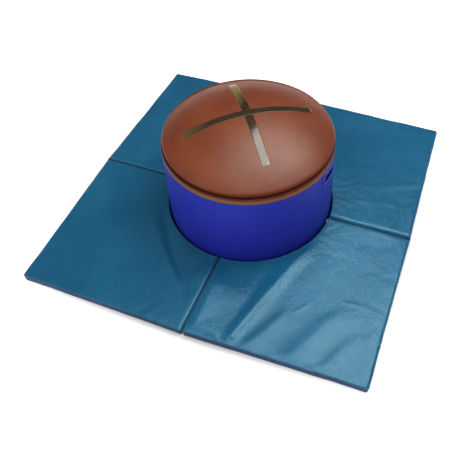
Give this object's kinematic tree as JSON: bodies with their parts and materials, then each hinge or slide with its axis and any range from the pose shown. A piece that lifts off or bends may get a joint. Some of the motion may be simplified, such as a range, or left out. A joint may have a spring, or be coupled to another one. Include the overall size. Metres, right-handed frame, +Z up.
{
  "type": "gymnastics landing mat with mushroom trainer",
  "caption": "Square padded landing mat of folding quarter panels whose round central opening fits round a low drum-shaped gymnastics mushroom with a domed leather top.",
  "frame": {"origin": "on the floor, at the centre of the mat's round opening and of the trainer", "axes": "+Z up; the mat's seams lie along X and Y; -Y is the front and +X the right of the pictured view; the hinged seams run along X and the hook and loop seams along Y"},
  "size_m": [1.532, 1.524, 0.5415],
  "materials": {
    "teal_vinyl": "satin",
    "navy_vinyl": "satin",
    "grip_vinyl": "matte",
    "firm_foam": "matte",
    "soft_foam": "matte",
    "hook_tape": "matte",
    "loop_tape": "matte",
    "brown_leather": "satin",
    "rebond_foam": "matte",
    "plywood": "matte",
    "stained_plywood": "satin",
    "pine": "matte",
    "black_felt": "matte",
    "royal_blue_vinyl": "satin",
    "royal_blue_trim": "satin",
    "marking_paint": "gloss",
    "black_rubber": "matte",
    "zinc_steel": "satin"
  },
  "bodies": {
    "mushroom": {"leather_cover": "brown_leather", "dome_foam": "rebond_foam", "pad_board": "plywood", "cross_stripe_across": "marking_paint", "cross_stripe_along": "marking_paint", "felt_gasket": "black_felt", "top_plate": "stained_plywood", "drum_wall": "plywood", "drum_foam": "soft_foam", "drum_cover": "royal_blue_vinyl", "left_handhold_liner": "royal_blue_trim", "right_handhold_liner": "royal_blue_trim", "post_left_back": "pine", "post_left_front": "pine", "post_right_back": "pine", "post_right_front": "pine", "base_board": "plywood", "rubber_feet": "black_rubber", "cap_bolts": "zinc_steel", "cap_washers": "zinc_steel", "cap_t_nuts": "zinc_steel", "top_plate_screws": "zinc_steel", "base_board_screws": "zinc_steel", "foot_screws": "zinc_steel"},
    "left_back": {"left_back_top_cover": "teal_vinyl", "left_back_gusset": "navy_vinyl", "left_back_base_sheet": "grip_vinyl", "left_back_foam_upper": "firm_foam", "left_back_foam_lower": "soft_foam", "left_hinge_web": "navy_vinyl", "back_hook_strip": "hook_tape"},
    "left_front": {"left_front_top_cover": "teal_vinyl", "left_front_gusset": "navy_vinyl", "left_front_base_sheet": "grip_vinyl", "left_front_foam_upper": "firm_foam", "left_front_foam_lower": "soft_foam", "front_hook_strip": "hook_tape"},
    "right_back": {"right_back_top_cover": "teal_vinyl", "right_back_gusset": "navy_vinyl", "right_back_base_sheet": "grip_vinyl", "right_back_foam_upper": "firm_foam", "right_back_foam_lower": "soft_foam", "right_hinge_web": "navy_vinyl", "back_loop_strip": "loop_tape"},
    "right_front": {"right_front_top_cover": "teal_vinyl", "right_front_gusset": "navy_vinyl", "right_front_base_sheet": "grip_vinyl", "right_front_foam_upper": "firm_foam", "right_front_foam_lower": "soft_foam", "front_loop_strip": "loop_tape"}
  },
  "joints": [
    {"name": "left_slide", "type": "slide", "parent": "mushroom", "child": "left_back", "axis": [-1, 0, 0], "range_m": [0, 1.205]},
    {"name": "left_fold", "type": "hinge", "parent": "left_back", "child": "left_front", "pos_m": [-0.574, 0, 0.041], "axis": [-1, 0, 0], "range_deg": [0, 180]},
    {"name": "right_slide", "type": "slide", "parent": "mushroom", "child": "right_back", "axis": [1, 0, 0], "range_m": [0, 1.205]},
    {"name": "right_fold", "type": "hinge", "parent": "right_back", "child": "right_front", "pos_m": [0.574, 0, 0.041], "axis": [-1, 0, 0], "range_deg": [0, 180]}
  ],
  "couplings": [
    {"joint": "left_fold", "follows": "left_slide", "rad_per_m": 2.6},
    {"joint": "right_fold", "follows": "right_slide", "rad_per_m": 2.6}
  ]
}
